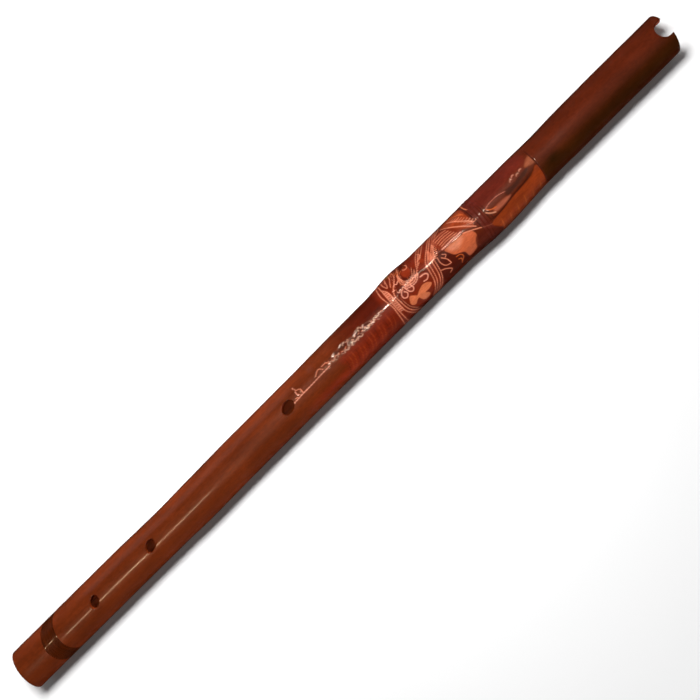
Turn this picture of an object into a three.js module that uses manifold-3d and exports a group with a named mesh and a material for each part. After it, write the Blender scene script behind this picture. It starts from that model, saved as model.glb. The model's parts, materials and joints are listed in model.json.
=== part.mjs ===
// A bamboo notch flute, lying on its back along X with its finger holes up.
// Millimetres, +Z up. The foot is towards -X and the mouth towards +X.
import * as THREE from 'three';
import { mergeVertices } from 'three/addons/utils/BufferGeometryUtils.js';
import Module from 'manifold-3d';

const wasm = await Module();
wasm.setup();

// Driving dimensions.
const LENGTH = 540;
const BORE_RADIUS = 9.6;
const SAW_SKEW = THREE.MathUtils.degToRad(4.8);   // the ends are cut a little askew
const SIDES = 32;                                 // of every ring, with a flat side down
const END_SPARE = 3;                              // the blank's extra length, sawn off at each end

// Outside radius of the culm at distances from the foot: it thins and thickens as bamboo does.
const OUTLINE = [
  [0, 13.15],
  [70, 13.15],
  [122, 12.9],
  [150, 13.35],
  [240, 13.4],
  [275, 13.65],
  [305, 13.8],
  [415, 13.8],
  [438, 13.4],
  [462, 13.8],
  [LENGTH, 13.8],
];

// The binding near the foot, flush with the culm in a groove of its own. It runs aslant: its top lies nearer
// the foot than its underside, and its +Y side nearer the mouth. Each lean is a slope, in mm per mm.
const BINDING = { fromFoot: 27, width: 9.6, thickness: 0.8, gap: 0.3, leanUp: -0.45, leanAcross: 0.13 };

// Swellings where branch buds were cut away, on opposite sides at neighbouring knots.
const BUDS = [
  { fromFoot: 318, around: 84, proud: 1.5, long: 17, wide: 8 },
  { fromFoot: 394, around: -84, proud: 1.5, long: 30, wide: 9 },
];

// Finger holes: across and along are their two axes, lean is the turn of the long axis from the culm's
// own direction, and around is the place round the culm from straight up, positive towards +Y.
const FINGER_HOLES = [
  { fromFoot: 61.1, around: 1.7, across: 5.6, along: 8.1, lean: 41 },
  { fromFoot: 107.7, around: 3.2, across: 5.7, along: 8.5, lean: 35 },
  { fromFoot: 222.8, around: 4.1, across: 6.7, along: 9.5, lean: 19.5 },
];

// The blowing notch: a round-bottomed cut into the mouth's rim.
const NOTCH = { depth: 8, radius: 5.6, around: 13 };

const TOP_RADIUS = Math.max(...OUTLINE.map(([, radius]) => radius));
const HALF_SIDE = Math.PI / SIDES;
const AXIS_HEIGHT = TOP_RADIUS;
const CORNER = 1 / Math.cos(HALF_SIDE);           // makes a many-sided ring's flats touch the round one

const BAMBOO = new THREE.MeshStandardMaterial({ color: 0x5e2a16, roughness: 0.35, metalness: 0 });
const LACQUER = new THREE.MeshStandardMaterial({ color: 0x2e120a, roughness: 0.15, metalness: 0 });

// Stations count from the foot; the part's own X runs from the middle.
const alongX = (fromFoot) => fromFoot - LENGTH / 2;

function radiusAt(fromFoot) {
  const place = THREE.MathUtils.clamp(fromFoot, 0, LENGTH);
  const next = Math.max(1, OUTLINE.findIndex(([station]) => station >= place));
  const [s0, r0] = OUTLINE[next - 1];
  const [s1, r1] = OUTLINE[next];
  return r0 + (r1 - r0) * (place - s0) / (s1 - s0);
}

function toSolid(geometry) {
  const bare = geometry.clone();
  bare.deleteAttribute('normal');
  bare.deleteAttribute('uv');
  const merged = mergeVertices(bare, 1e-4);
  return new wasm.Manifold(new wasm.Mesh({
    numProp: 3,
    vertProperties: new Float32Array(merged.attributes.position.array),
    triVerts: new Uint32Array(merged.index.array),
  }));
}

function toGeometry(solid) {
  const mesh = solid.getMesh();
  const geometry = new THREE.BufferGeometry();
  geometry.setAttribute('position', new THREE.BufferAttribute(mesh.vertProperties, 3));
  geometry.setIndex(new THREE.BufferAttribute(mesh.triVerts, 1));
  geometry.computeVertexNormals();
  return geometry;
}

// A ring turned about X from a closed outline of [distance from the foot, radius] points.
function turned(outline) {
  const points = outline.map(([fromFoot, radius]) => new THREE.Vector2(radius * CORNER, alongX(fromFoot)));
  points.push(points[0].clone());
  return new THREE.LatheGeometry(points, SIDES, HALF_SIDE)
    .rotateZ(-Math.PI / 2);
}

// Turns a geometry that was made at the top of the culm to its place round the culm.
function placedAround(geometry, degrees) {
  return geometry.rotateX(-THREE.MathUtils.degToRad(degrees));
}

function culmBlank() {
  const outside = OUTLINE.map(([fromFoot, radius]) => [fromFoot, radius]);
  outside[0][0] -= END_SPARE;
  outside[outside.length - 1][0] += END_SPARE;
  const bore = [
    [LENGTH + END_SPARE, BORE_RADIUS],
    [-END_SPARE, BORE_RADIUS],
  ];
  return toSolid(turned([...outside, ...bore]));
}

function budSwelling({ fromFoot, around, proud, long, wide }) {
  const depth = 2.5;
  const bump = new THREE.SphereGeometry(1, 16, 10)
    .scale(long, wide, proud + depth)
    .translate(alongX(fromFoot), 0, radiusAt(fromFoot) - depth);
  return toSolid(placedAround(bump, around));
}

function fingerHole({ fromFoot, around, across, along, lean }) {
  const drill = new THREE.CylinderGeometry(0.5, 0.5, TOP_RADIUS, 20)
    .rotateX(Math.PI / 2)
    .scale(along, across, 1)
    .rotateZ(THREE.MathUtils.degToRad(lean))
    .translate(alongX(fromFoot), 0, TOP_RADIUS);
  return toSolid(placedAround(drill, around));
}

// A round-bottomed slot through the wall, open past the rim.
function notchCutter() {
  const bottom = alongX(LENGTH - NOTCH.depth + NOTCH.radius);
  const beyond = alongX(LENGTH + NOTCH.depth);
  const shape = new THREE.Shape();
  shape.moveTo(beyond, NOTCH.radius);
  shape.lineTo(bottom, NOTCH.radius);
  shape.absarc(bottom, 0, NOTCH.radius, Math.PI / 2, Math.PI * 1.5, false);
  shape.lineTo(beyond, -NOTCH.radius);
  shape.closePath();
  const slot = new THREE.ExtrudeGeometry(shape, { depth: TOP_RADIUS, bevelEnabled: false, curveSegments: 14 })
    .translate(0, 0, BORE_RADIUS / 2);
  return toSolid(placedAround(slot, NOTCH.around));
}

// A slab that takes off what lies beyond a skewed saw cut at one end.
function sawnOff(fromFoot, side) {
  const slab = 4 * END_SPARE;
  const block = new THREE.BoxGeometry(slab, 4 * TOP_RADIUS, 4 * TOP_RADIUS)
    .translate(side * slab / 2, 0, 0)
    .rotateZ(-SAW_SKEW)
    .translate(alongX(fromFoot), 0, 0);
  return toSolid(block);
}

// The band between two radii over the binding's width, widened by spare on every side that has a gap.
function bindingRing(inner, outer, spare) {
  const start = BINDING.fromFoot - spare;
  const end = BINDING.fromFoot + BINDING.width + spare;
  const ring = turned([
    [start, outer],
    [end, outer],
    [end, inner],
    [start, inner],
  ]);
  const lean = new THREE.Matrix4().makeShear(0, 0, BINDING.leanAcross, 0, BINDING.leanUp, 0);
  return ring.applyMatrix4(lean);
}

function culm() {
  const seat = radiusAt(BINDING.fromFoot) - BINDING.thickness - BINDING.gap;
  let solid = culmBlank();
  for (const bud of BUDS) {
    solid = solid.add(budSwelling(bud));
  }
  for (const hole of FINGER_HOLES) {
    solid = solid.subtract(fingerHole(hole));
  }
  solid = solid.subtract(notchCutter());
  solid = solid.subtract(toSolid(bindingRing(seat, TOP_RADIUS + 1, BINDING.gap)));
  solid = solid.subtract(sawnOff(0, -1));
  solid = solid.subtract(sawnOff(LENGTH, 1));
  return toGeometry(solid);
}

function footBinding() {
  const outer = radiusAt(BINDING.fromFoot);
  return bindingRing(outer - BINDING.thickness, outer, 0);
}

function named(name, geometry, material) {
  const mesh = new THREE.Mesh(geometry, material);
  mesh.name = name;
  return mesh;
}

const flute = new THREE.Group();
flute.name = 'bamboo_flute';
flute.position.z = AXIS_HEIGHT;
flute.add(named('culm', culm(), BAMBOO));
flute.add(named('foot_binding', footBinding(), LACQUER));

export default flute;
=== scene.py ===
# %% [markdown]
# # A carved bamboo notch flute
#
# The flute is one length of bamboo, stained red-brown and lacquered, with a carved middle, oval finger
# holes, a notch to blow across and a whipping of lacquered thread near the foot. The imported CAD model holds
# its sizes. Here each plain solid is replaced by a finely made piece in the same place, in metres.

# %% Load the frame
import json
import math

import bmesh
import bpy
import numpy as np
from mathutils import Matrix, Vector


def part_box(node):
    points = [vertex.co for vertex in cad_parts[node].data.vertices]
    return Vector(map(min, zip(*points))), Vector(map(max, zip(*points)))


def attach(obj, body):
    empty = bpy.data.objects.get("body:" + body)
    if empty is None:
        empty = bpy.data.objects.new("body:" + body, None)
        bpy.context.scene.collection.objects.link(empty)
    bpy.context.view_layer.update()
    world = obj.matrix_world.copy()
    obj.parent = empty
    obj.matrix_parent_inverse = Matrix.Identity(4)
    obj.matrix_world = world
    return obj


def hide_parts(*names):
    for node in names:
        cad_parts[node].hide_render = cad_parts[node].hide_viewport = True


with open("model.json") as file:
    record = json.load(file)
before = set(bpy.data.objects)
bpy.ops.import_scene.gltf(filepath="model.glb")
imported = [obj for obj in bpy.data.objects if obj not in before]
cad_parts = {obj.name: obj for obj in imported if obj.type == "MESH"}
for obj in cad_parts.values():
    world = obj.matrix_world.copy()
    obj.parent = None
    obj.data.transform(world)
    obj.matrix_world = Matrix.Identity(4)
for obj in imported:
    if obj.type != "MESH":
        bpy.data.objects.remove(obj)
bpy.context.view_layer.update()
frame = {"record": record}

# %% [markdown]
# ## Sizes
#
# The long axis runs along X, half way up the culm's box, and the rims' mounts say where the ends are.
# Everything on the culm is placed as its maker would place it: a distance from the foot in millimetres, and
# a distance round the culm in millimetres, or a turn in degrees, from the line of the finger holes. Both
# are positive towards +Y.

# %% Sizes from the frame
MM = 0.001
low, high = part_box("culm")
AXIS_Z = (low.z + high.z) / 2
RIMS = {mount["name"]: mount for mount in frame["record"]["mounts"]}
FOOT_X = RIMS["foot_rim"]["pos_m"][0]
LENGTH = (RIMS["mouth_rim"]["pos_m"][0] - FOOT_X) / MM
SAW_SKEW = -RIMS["mouth_rim"]["axis"][1] / RIMS["mouth_rim"]["axis"][0]
BINDING_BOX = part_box("foot_binding")
print("length", round(LENGTH, 1), "mm, axis", round(AXIS_Z / MM, 2), "mm up, cuts lean", round(SAW_SKEW, 3))

# %% Sizes of the culm, in millimetres
BORE_RADIUS = 9.6
OUTLINE = [(0, 13.15), (70, 13.15), (122, 12.9), (150, 13.35), (240, 13.4), (275, 13.65),
           (305, 13.7), (415, 13.7), (438, 13.4), (462, 13.8), (LENGTH, 13.8)]
BEND = [(0, 0.1), (70, 0.0), (135, -0.6), (185, -0.1), (300, 0.25), (430, 0.0), (490, 0.25), (LENGTH, 0.1)]
KNOTS = [38, 91, 135, 185, 250, 318, 382, 452, 515]
BAND = {"from_foot": 27, "width": 9.6, "thickness": 0.8, "gap": 0.3, "lean_up": -0.45, "lean_across": 0.13}
CARVED = (222, 430)
FINE_FROM = 302

# %% Helpers for shaping by hand
def choose(piece):
    """Selects one piece, and only that one, for the next operator to act on."""
    bpy.ops.object.select_all(action="DESELECT")
    piece.select_set(True)
    bpy.context.view_layer.objects.active = piece


def begin_edit(piece):
    """Opens one piece, and only that one, in edit mode."""
    choose(piece)
    bpy.ops.object.mode_set(mode="EDIT")


def end_edit():
    bpy.ops.object.mode_set(mode="OBJECT")


def pick_edges(piece, wanted):
    """In edit mode, selects the edges whose two ends both answer to wanted(co)."""
    bpy.ops.mesh.select_mode(type="EDGE")
    bpy.ops.mesh.select_all(action="DESELECT")
    sheet = bmesh.from_edit_mesh(piece.data)
    for edge in sheet.edges:
        edge.select_set(all(wanted(corner.co) for corner in edge.verts))
    bmesh.update_edit_mesh(piece.data)


def apply_modifier(piece, modifier):
    choose(piece)
    bpy.ops.object.modifier_apply(modifier=modifier.name)


def smooth_below(piece, degrees):
    """Shades a piece smooth, but for edges that turn by more than so many degrees."""
    choose(piece)
    bpy.ops.object.shade_smooth_by_angle(angle=math.radians(degrees))


def eased(table, place):
    """Reads a table of (distance from the foot, value), easing smoothly from one row to the next."""
    stations = np.array([row[0] for row in table], float)
    values = np.array([row[1] for row in table], float)
    place = np.clip(np.asarray(place, float), stations[0], stations[-1])
    step = np.clip(np.searchsorted(stations, place, side="right") - 1, 0, len(stations) - 2)
    part = (place - stations[step]) / (stations[step + 1] - stations[step])
    return values[step] + (values[step + 1] - values[step]) * part * part * (3 - 2 * part)


def read_points(piece):
    flat = np.empty(len(piece.data.vertices) * 3)
    piece.data.vertices.foreach_get("co", flat)
    return flat.reshape(-1, 3)


def write_points(piece, points):
    piece.data.vertices.foreach_set("co", points.ravel())
    piece.data.update()

# %% [markdown]
# ## The camera
#
# The flute is seen from straight above, a little over 60 cm away, and runs from the lower left corner of
# the picture to the upper right. At that distance the ends still look curved, because the eye sees them a
# little from the side.

# %% Camera
VIEW_HEIGHT = 0.634
CAMERA_TURN = math.radians(-44.91)
bpy.ops.object.camera_add(location=(0.0026, -0.0008, AXIS_Z + VIEW_HEIGHT), rotation=(0, 0, CAMERA_TURN))
camera = bpy.context.object
camera.name = "overhead_camera"
camera.data.sensor_width = 36
camera.data.lens = 54.25
camera.data.clip_start = 0.01
camera.data.clip_end = 50
bpy.context.scene.camera = camera
print("camera", VIEW_HEIGHT, "m above the flute, lens", camera.data.lens)

# %% [markdown]
# ## The blank of the culm
#
# A turner would spin a stick of bamboo against a blade. Here the wall's outline, a long thin rectangle
# between the bore and the skin, is drawn once and spun round the axis. The carved stretch gets close rows,
# because the relief is cut into it afterwards, and the plain stretches get few. The front is spun in fine
# steps and the back in coarse ones for the same reason.

# %% Draw the wall and spin it
SKIN_RADIUS = 13.0
WALL_MIDDLE = (BORE_RADIUS + SKIN_RADIUS) / 2    # tells the skin's points from the bore's
FRONT_FROM = -100
FRONT_TO = 100
FRONT_STEPS = 126
BACK_STEPS = 26
GROOVE = (BAND["from_foot"] - BAND["gap"], BAND["from_foot"] + BAND["width"] + BAND["gap"])
GROOVE_WALL = 0.06
MOST_CUTS = 100                                  # that one subdivide makes
SKIN_ROWS = [(0, 0.5, 3), (0.5, GROOVE[0], 6), (GROOVE[0], GROOVE[0] + GROOVE_WALL, 1),
             (GROOVE[0] + GROOVE_WALL, GROOVE[1] - GROOVE_WALL, 2), (GROOVE[1] - GROOVE_WALL, GROOVE[1], 1),
             (GROOVE[1], CARVED[0], 48), (CARVED[0], FINE_FROM, 114), (FINE_FROM, CARVED[1], 366),
             (CARVED[1], LENGTH - 0.5, 28), (LENGTH - 0.5, LENGTH, 3)]


def x_of(from_foot):
    return FOOT_X + from_foot * MM


def wall_outline(name, from_foot, to_foot, inner, outer):
    """The thin rectangle of a ring's wall, standing where the fine front begins."""
    middle = (inner + outer) / 2 * MM
    start = math.radians(FRONT_FROM)
    centre = (x_of((from_foot + to_foot) / 2), middle * math.sin(start), AXIS_Z + middle * math.cos(start))
    bpy.ops.mesh.primitive_plane_add(size=1, location=centre, rotation=(math.pi / 2 - start, 0, 0))
    piece = bpy.context.object
    piece.name = name
    piece.scale = ((to_foot - from_foot) * MM, (outer - inner) * MM, 1)
    choose(piece)
    bpy.ops.object.transform_apply(location=True, rotation=True, scale=True)
    begin_edit(piece)
    bpy.ops.mesh.select_all(action="SELECT")
    bpy.ops.mesh.delete(type="ONLY_FACE")
    end_edit()
    return piece


def spin_outline(piece):
    """Spins the open outline once round the axis, in fine steps over the front and coarse ones behind."""
    front_turn = math.radians(FRONT_TO - FRONT_FROM)
    around_axis = {"center": (0, 0, AXIS_Z), "axis": (1, 0, 0)}
    bpy.ops.mesh.select_all(action="SELECT")
    bpy.ops.mesh.spin(steps=FRONT_STEPS, angle=front_turn, **around_axis)
    bpy.ops.mesh.spin(steps=BACK_STEPS, angle=math.tau - front_turn, **around_axis)
    bpy.ops.mesh.select_all(action="SELECT")
    bpy.ops.mesh.remove_doubles(threshold=1e-6)
    bpy.ops.mesh.select_all(action="SELECT")
    bpy.ops.mesh.normals_make_consistent(inside=False)


def radius_of(co):
    return math.hypot(co[1], co[2] - AXIS_Z) / MM


def add_rows(blank, rows, inside):
    """Cuts one long edge of the outline at each zone's start, then divides each zone evenly."""
    slack = 1e-6

    def on_side(co):
        return (radius_of(co) < WALL_MIDDLE) == inside

    for start, _, _ in rows[1:]:
        pick_edges(blank, on_side)
        bpy.ops.mesh.bisect(plane_co=(x_of(start), 0, 0), plane_no=(1, 0, 0), threshold=slack)
    for start, end, count in rows:
        parts = math.ceil(count / MOST_CUTS)
        for cuts in (parts, round(count / parts)):
            if cuts > 1:
                pick_edges(blank, lambda co: on_side(co) and x_of(start) - slack < co[0] < x_of(end) + slack)
                bpy.ops.mesh.subdivide(number_cuts=cuts - 1)


def bore_rows():
    """Rows of the bore: three close ones at each knot, and one every few centimetres between."""
    rows = []
    place = 0
    for knot in KNOTS:
        rows += [(place, knot - 2, 3), (knot - 2, knot + 2, 4)]
        place = knot + 2
    return rows + [(place, LENGTH, 3)]


blank = wall_outline("bamboo_culm", 0, LENGTH, BORE_RADIUS, SKIN_RADIUS)
begin_edit(blank)
add_rows(blank, SKIN_ROWS, inside=False)
add_rows(blank, bore_rows(), inside=True)
spin_outline(blank)
end_edit()
print("blank", len(blank.data.vertices), "points", len(blank.data.polygons), "faces")

# %% [markdown]
# ## Bamboo's own shape
#
# Bamboo is never a true cylinder. It thins and thickens, bends a little from knot to knot, and carries a
# swelling where each branch bud was cut away, on opposite sides at neighbouring knots. The inside keeps a
# low ridge where the wall of each knot was knocked out. All of this is pressed into the blank by moving its
# points, as a sculptor would, with smooth formulas in millimetres.

# %% Press the blank to the culm's shape
BUDS = [{"from_foot": 318, "turn": 84, "proud": 1.3, "half_long": 19, "half_wide": 11},
        {"from_foot": 394, "turn": -84, "proud": 1.5, "half_long": 34, "half_wide": 12}]
RIM_ROUNDING = 0.35
KNOT_RIDGE_INSIDE = 0.4
RING_KNOT = 382
RING_GAP = 2.4
LEAN_FADES = 60                                  # how far past the groove the rows stand upright again


def hump(distance, half):
    """1 at the middle, falling smoothly to 0 at half's distance."""
    part = np.clip(np.abs(distance) / half, 0, 1)
    return (1 - part * part) ** 2


def skin_radius(from_foot, turn):
    """Outside radius of the culm, in millimetres, before anything is carved in it."""
    radius = eased(OUTLINE, from_foot)
    upper = np.clip((np.cos(turn) + 0.6) / 1.2, 0, 1)
    radius = radius + 0.05 * upper * np.sin(from_foot / 9 + 2 * turn) * np.sin(from_foot / 23 - turn)
    for knot in KNOTS:
        radius = radius + 0.12 * upper * hump(from_foot - knot, 6)
    for side in (-1, 1):
        radius = radius + 0.3 * upper * hump(from_foot - RING_KNOT - side * RING_GAP / 2, 1.1)
    for bud in BUDS:
        off = (turn - math.radians(bud["turn"]) + math.pi) % math.tau - math.pi
        radius = radius + (bud["proud"] * hump(from_foot - bud["from_foot"], bud["half_long"])
                           * hump(off * SKIN_RADIUS, bud["half_wide"]))
    edge = np.minimum(from_foot, LENGTH - from_foot)
    rounding = np.clip(1 - edge / 0.5, 0, 1)
    radius = radius - RIM_ROUNDING * (1 - np.sqrt(1 - rounding ** 2))
    return radius


def groove_lean(station, turn, radius):
    """How far a row is moved along the culm, so that the groove runs aslant as the binding does."""
    share = np.clip(np.minimum(station / GROOVE[0], 1 - (station - GROOVE[1]) / LEAN_FADES), 0, 1)
    return share * radius * (BAND["lean_up"] * np.cos(turn) + (BAND["lean_across"] - SAW_SKEW) * np.sin(turn))


def bore_radius(from_foot):
    radius = np.full_like(from_foot, BORE_RADIUS)
    for knot in KNOTS:
        radius = radius - KNOT_RIDGE_INSIDE * hump(from_foot - knot, 2)
    return radius


def lying_straight(points):
    """Splits points into their distance from the foot, their turn round the axis and their radius."""
    from_foot = (points[:, 0] - FOOT_X) / MM
    turn = np.arctan2(points[:, 1], points[:, 2] - AXIS_Z)
    radius = np.hypot(points[:, 1], points[:, 2] - AXIS_Z) / MM
    return from_foot, turn, radius


def set_turned(points, from_foot, turn, radius):
    """Puts points at a radius and a turn, then bends and skews the culm as a whole."""
    points[:, 1] = radius * np.sin(turn) * MM
    points[:, 2] = AXIS_Z + radius * np.cos(turn) * MM
    points[:, 0] = x_of(from_foot) + points[:, 1] * SAW_SKEW
    points[:, 1] += eased(BEND, from_foot) * MM


points = read_points(blank)
from_foot, turn, radius = lying_straight(points)
outside = radius > WALL_MIDDLE
in_groove = outside & (from_foot > GROOVE[0] + GROOVE_WALL / 2) & (from_foot < GROOVE[1] - GROOVE_WALL / 2)
leaning = from_foot + np.where(outside, groove_lean(from_foot, turn, SKIN_RADIUS), 0)
radius = np.where(outside, skin_radius(leaning, turn), bore_radius(from_foot))
radius = radius - in_groove * (BAND["thickness"] + BAND["gap"])
set_turned(points, leaning, turn, radius)
write_points(blank, points)
print("skin from", round(radius[outside].min(), 2), "to", round(radius[outside].max(), 2), "mm")

# %% [markdown]
# ## The carving
#
# The ornament was drawn on paper, wrapped round the culm and cut with small gouges: ribbons, scrolls, a
# leaf, a petal and a long panel. Here it is drawn the same way, as a flat sheet. A point on the sheet is a
# distance from the foot and a distance round the culm from the finger holes' line, both in millimetres. A
# gouge cut is a smooth line through a few points, with a width and a depth, and a gouge that is rocked
# from side to side leaves ribs. A scraped field is a smooth closed outline.

# %% Tones of the carving
PALE = "#b2664b"
PINK = "#c27a62"
BRIGHT = "#946a56"
ORANGE = "#a34a20"
RED = "#6e2009"
GROUND = "#5e1806"
DARK = "#300e06"
print("seven tones, from", PALE, "to", DARK)

# %% Tools for drawing on the sheet
def hex_colour(code):
    """An sRGB hex value as linear red, green and blue."""
    channels = [int(code[place:place + 2], 16) / 255 for place in (1, 3, 5)]
    return np.array([c / 12.92 if c <= 0.04045 else ((c + 0.055) / 1.055) ** 2.4 for c in channels])


def smooth_line(knots, closed=False, step=0.4):
    """A Catmull-Rom curve through the knots, as points about a step apart."""
    knots = [np.array(knot, float) for knot in knots]
    if closed:
        knots = [knots[-1]] + knots + knots[:2]
    else:
        knots = [2 * knots[0] - knots[1]] + knots + [2 * knots[-1] - knots[-2]]
    points = []
    for a, b, c, d in zip(knots, knots[1:], knots[2:], knots[3:]):
        count = max(2, int(np.linalg.norm(c - b) / step))
        for part in np.arange(count) / count:
            points.append(0.5 * (2 * b + (c - a) * part + (2 * a - 5 * b + 4 * c - d) * part ** 2
                                 + (3 * b - a - 3 * c + d) * part ** 3))
    if not closed:
        points.append(knots[-2])
    return np.array(points)


def distance_along(spots, line, closed=False):
    """How far each spot is from a line, and how far along the line its nearest point lies."""
    ends = np.roll(line, -1, axis=0) if closed else line[1:]
    starts = line if closed else line[:-1]
    best = np.full(len(spots), 1e9)
    along = np.zeros(len(spots))
    travelled = 0.0
    for start, end in zip(starts, ends):
        run = end - start
        size = math.hypot(*run)
        part = np.clip(((spots - start) @ run) / max(size * size, 1e-12), 0, 1)
        gap = np.hypot(*(spots - start - part[:, None] * run).T)
        nearer = gap < best
        best = np.where(nearer, gap, best)
        along = np.where(nearer, travelled + part * size, along)
        travelled += size
    return best, along


def inside_of(spots, line):
    """True for each spot that a closed line surrounds."""
    odd = np.zeros(len(spots), bool)
    for start, end in zip(line, np.roll(line, -1, axis=0)):
        if start[1] != end[1]:
            crosses = (start[1] > spots[:, 1]) != (end[1] > spots[:, 1])
            where = start[0] + (spots[:, 1] - start[1]) * (end[0] - start[0]) / (end[1] - start[1])
            odd ^= crosses & (spots[:, 0] < where)
    return odd


class Sheet:
    """The flat sheet that the ornament is drawn on: a depth and a colour for each of its spots."""

    def __init__(self, spots, colour):
        self.spots = spots
        self.colour = colour
        self.depth = np.zeros(len(spots))

    def near(self, line, reach):
        low, high = line.min(0) - reach, line.max(0) + reach
        return np.nonzero(((self.spots > low) & (self.spots < high)).all(1))[0]

    def lay(self, chosen, cover, depth, tone):
        self.depth[chosen] = np.maximum(self.depth[chosen], depth)
        cover = cover[:, None]
        self.colour[chosen] = self.colour[chosen] * (1 - cover) + hex_colour(tone) * cover

    def cut(self, knots, width=0.9, depth=0.3, tone=PALE, ribs=0.0, fade=0.0, strength=1.0):
        """A gouge cut along a line. Ribs is the spacing of the rocked gouge's marks, 0 for a clean cut."""
        line = smooth_line(knots)
        chosen = self.near(line, width)
        gap, along = distance_along(self.spots[chosen], line)
        length = along.max() if len(along) else 0
        profile = np.clip(1 - gap / (width / 2), 0, 1)
        if ribs:
            profile = profile * (0.72 + 0.28 * np.cos(along / ribs * math.tau))
        if fade:
            profile = profile * np.clip(np.minimum(along, length - along) / fade, 0, 1)
        cover = strength * np.clip(profile * 1.7, 0, 1)
        self.lay(chosen, cover, depth * profile, tone)

    def scrape(self, knots, depth=0.25, tone="#cf6c45", edge=0.5, strength=1.0):
        """A smooth field scraped down inside a closed line."""
        line = smooth_line(knots, closed=True)
        chosen = self.near(line, edge)
        gap, _ = distance_along(self.spots[chosen], line, closed=True)
        signed = np.where(inside_of(self.spots[chosen], line), gap, -gap)
        cover = np.clip(signed / edge + 0.5, 0, 1)
        self.lay(chosen, strength * cover, depth * cover, tone)

# %% [markdown]
# ## Drawing the ornament
#
# From the finger holes towards the mouth come a thin stem with a sprig, broken curls along the top with faint
# feathering below them, and two ribbed ribbons that run round the culm. Then come a scoop, scrolls and a
# three-lobed leaf, ribbons that sweep across, a patch of close hatching over a smooth pale petal, and past
# the knot a tongue and a long orange panel. Along the line where the lacquer shines, a few pale marks are
# painted highlights: small ticks above the scrolls, a ribbed line under the hatching, a lighter patch on the
# petal and short strokes above the panel.

# %% The ornament, from the foot end to the mouth end

def stem_and_curls(sheet):
    sheet.cut([(227.5, 0.2), (234, 0.5), (242, 0.7), (250, 0.9), (258, 1.1)], 0.9, 0.3, PINK, ribs=2.1)
    sheet.cut([(233.4, 0.7), (232.0, 3.4), (232.7, 5.3), (232.5, 8.2)], 0.8, 0.25, PINK, fade=1.0)
    sheet.cut([(232.8, 5.2), (235.6, 3.6), (235.4, 1.0)], 0.8, 0.25)
    sheet.cut([(229.5, 1.6), (231.5, 1.0)], 0.7, 0.2)
    sheet.cut([(247, 2.2), (251, 4.4), (253.5, 2.2)], 0.7, 0.2)
    sheet.cut([(254, 4.2), (257, 4.0), (259, 1.6)], 0.8, 0.25)
    for start, height in ((262, 3.3), (268, 4.2), (274.5, 2.2), (280, 3.4), (286.5, 2.0)):
        sheet.scrape([(start, height), (start + 3, height + 1.6), (start + 6, height),
                      (start + 3, height - 2)], 0.35, DARK, 1.2, 0.8)
    for start, height, rise in ((258, 1.8, 0.9), (262, 2.6, 0.6), (269, 0.4, 0.8), (271, 4.6, 0.8),
                                (275.5, 0.9, 0.7), (280, 0.4, 0.9), (283.5, 4.2, 1.2), (288, 1.6, -1.0),
                                (292.5, 2.2, -1.2), (297, 2.6, -0.8)):
        sheet.cut([(start, height - rise), (start + 1.6, height + rise), (start + 3.2, height - rise * 0.4),
                   (start + 5.2, height + rise * 0.5)], 0.9, 0.3, BRIGHT, fade=0.8)

    for number in range(60):
        from_foot = 256 + 46 * ((number * 0.618034) % 1)
        height = 0.2 + 5.2 * ((number * 0.754878) % 1)
        lean = 0.9 * math.sin(number * 1.9)
        sheet.cut([(from_foot, height), (from_foot + 0.9, height + lean)], 0.7, 0.2,
                  (BRIGHT, DARK, GROUND, PALE)[number % 4], strength=0.7)


def feathering(sheet):
    """Faint slanting strokes on the side, below the curls."""
    sheet.scrape([(264, -1), (284, 0), (306, 1), (306.5, -18), (290, -19), (272, -12)],
                 0.1, "#651a07", 3, 0.7)
    for number in range(15):
        top = 267 + 2.7 * number
        sheet.cut([(top, -1.5 + 0.1 * number), (top - 0.6, -6), (top - 2.6, -11), (top - 5.5, -15)],
                  0.9, 0.2, "#7e2f14" if number % 3 else "#420f03", fade=4, strength=0.7)


def border_ribbons(sheet):
    """Two ribbed ribbons round the culm, where the full carving begins, and the frame's edge beside them."""
    first = [(309.0, 20), (308.4, 15), (307.4, 8), (308.2, -1), (307.8, -5), (307.0, -14), (307.0, -20)]
    second = [(310.8, 20), (310.4, 13), (309.6, 4), (309.3, -3), (309.5, -13), (310.2, -20)]
    third = [(310.6, 12), (312.2, 8), (312.2, 2), (312, -4), (312.6, -9), (315.6, -15), (318, -19)]
    frame_edge = [(321.8, 20), (322, 14), (319.7, 10.4), (315.6, 6.3), (313.7, 3), (313.6, -1), (314.3, -8),
                  (317, -13.6), (321, -18)]
    sheet.scrape([(306, 20), (306, -20), (322, -20), (317, -13), (315, -6), (315, 4), (322, 10), (322, 20)],
                 0.1, GROUND, 2.4, 0.9)
    sheet.scrape([(310.2, 11), (312.4, 7), (312.4, 0), (312.2, -5), (310, -6), (309.6, 2)],
                 0.06, "#8c432c", 0.6)
    for line in (first, second, third, frame_edge):
        sheet.cut(line, 1.0, 0.38, ribs=1.3)
    sheet.cut([(315.2, 0), (315.4, -5), (316.4, -9), (319.4, -14)], 0.7, 0.3, ribs=1.3, strength=0.8)
    for number in range(11):
        height = 9 - 1.5 * number
        sheet.cut([(310, height), (312.2, height - 0.7)], 0.6, 0.2, PINK, strength=0.7)


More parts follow.
